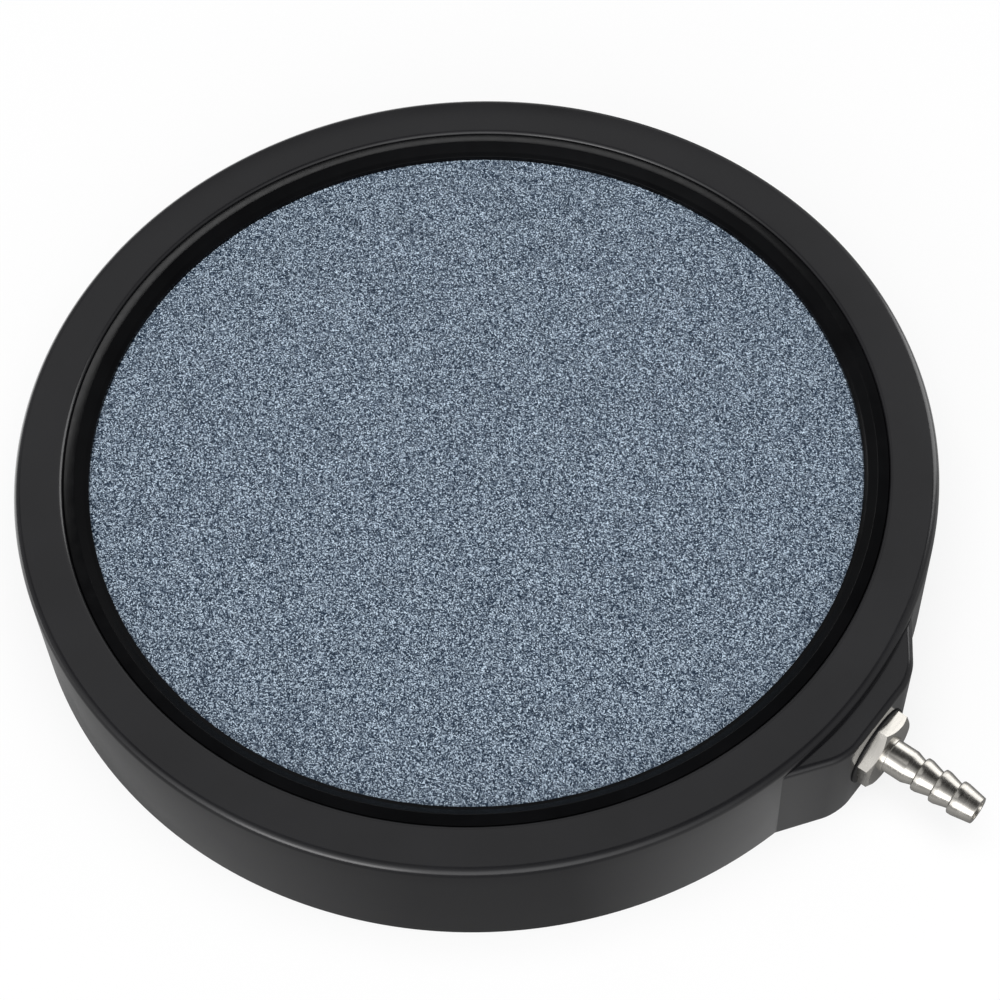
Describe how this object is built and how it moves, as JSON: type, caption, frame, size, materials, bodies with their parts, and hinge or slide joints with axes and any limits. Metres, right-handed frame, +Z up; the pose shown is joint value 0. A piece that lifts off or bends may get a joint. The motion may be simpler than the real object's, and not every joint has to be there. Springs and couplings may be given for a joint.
{
  "type": "fine bubble disc diffuser",
  "caption": "Round black moulded housing with a flat porous disc under a rolled sealing ring and a plated hose barb in a side boss, which turns air into fine bubbles under water.",
  "frame": {"origin": "centre of the flat underside, on the axis of the disc, in the plane that it stands on", "axes": "+Z up out of the porous disc's face, +X along the hose barb, away from the disc"},
  "size_m": [0.2302, 0.2002, 0.0286],
  "materials": {
    "housing": "satin black moulded ABS",
    "porous_disc": "blue-grey bonded grit, open-pored and unglazed",
    "sealing_ring": "glossy black rubber",
    "fitting_washer": "matt black rubber",
    "hose_barb": "turned brass with satin nickel plating"
  },
  "bodies": {
    "root": {"housing": "housing", "porous_disc": "porous_disc", "sealing_ring": "sealing_ring", "fitting_washer": "fitting_washer", "hose_barb": "hose_barb"}
  },
  "joints": []
}
